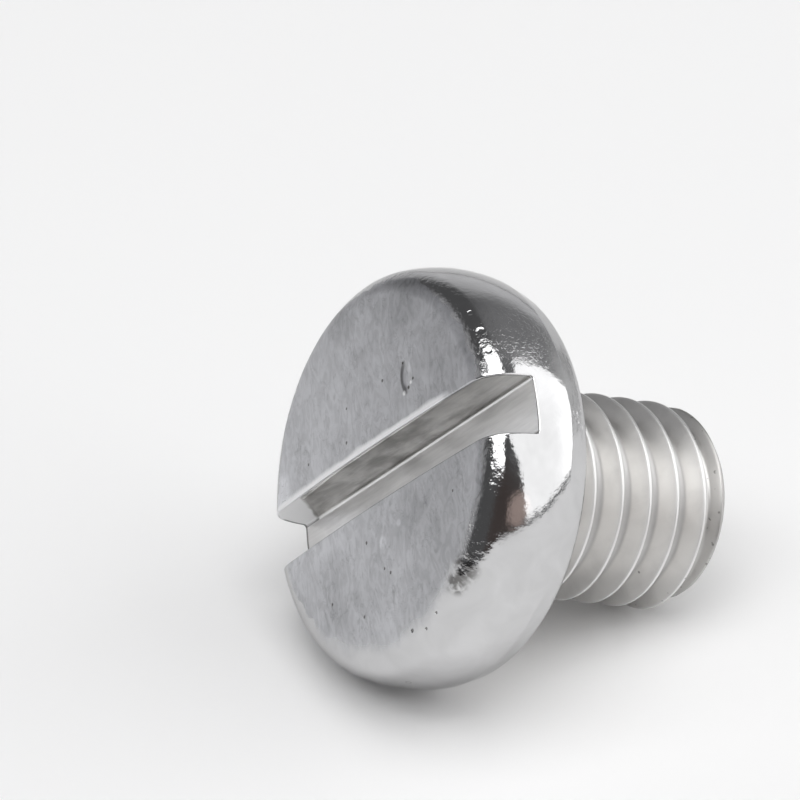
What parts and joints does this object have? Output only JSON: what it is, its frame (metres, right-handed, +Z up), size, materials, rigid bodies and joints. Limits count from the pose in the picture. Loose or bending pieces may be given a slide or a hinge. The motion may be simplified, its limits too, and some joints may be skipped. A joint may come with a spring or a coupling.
{
  "type": "slotted pan head screw",
  "caption": "Short machine screw with a slotted pan head, a plain neck and a fully threaded shank, lying on its side.",
  "frame": {"origin": "on the table, below the middle of the lying screw's box", "axes": "+Z up, +X level and towards the threaded end, which points 22.1 degrees below +X; +Y completes the set"},
  "size_m": [0.0104, 0.0098, 0.0096],
  "materials": {
    "plated_steel": "bright zinc plating, matt on the top of the head and mirror-like on its shoulder"
  },
  "bodies": {
    "root": {"screw": "plated_steel"}
  },
  "joints": []
}
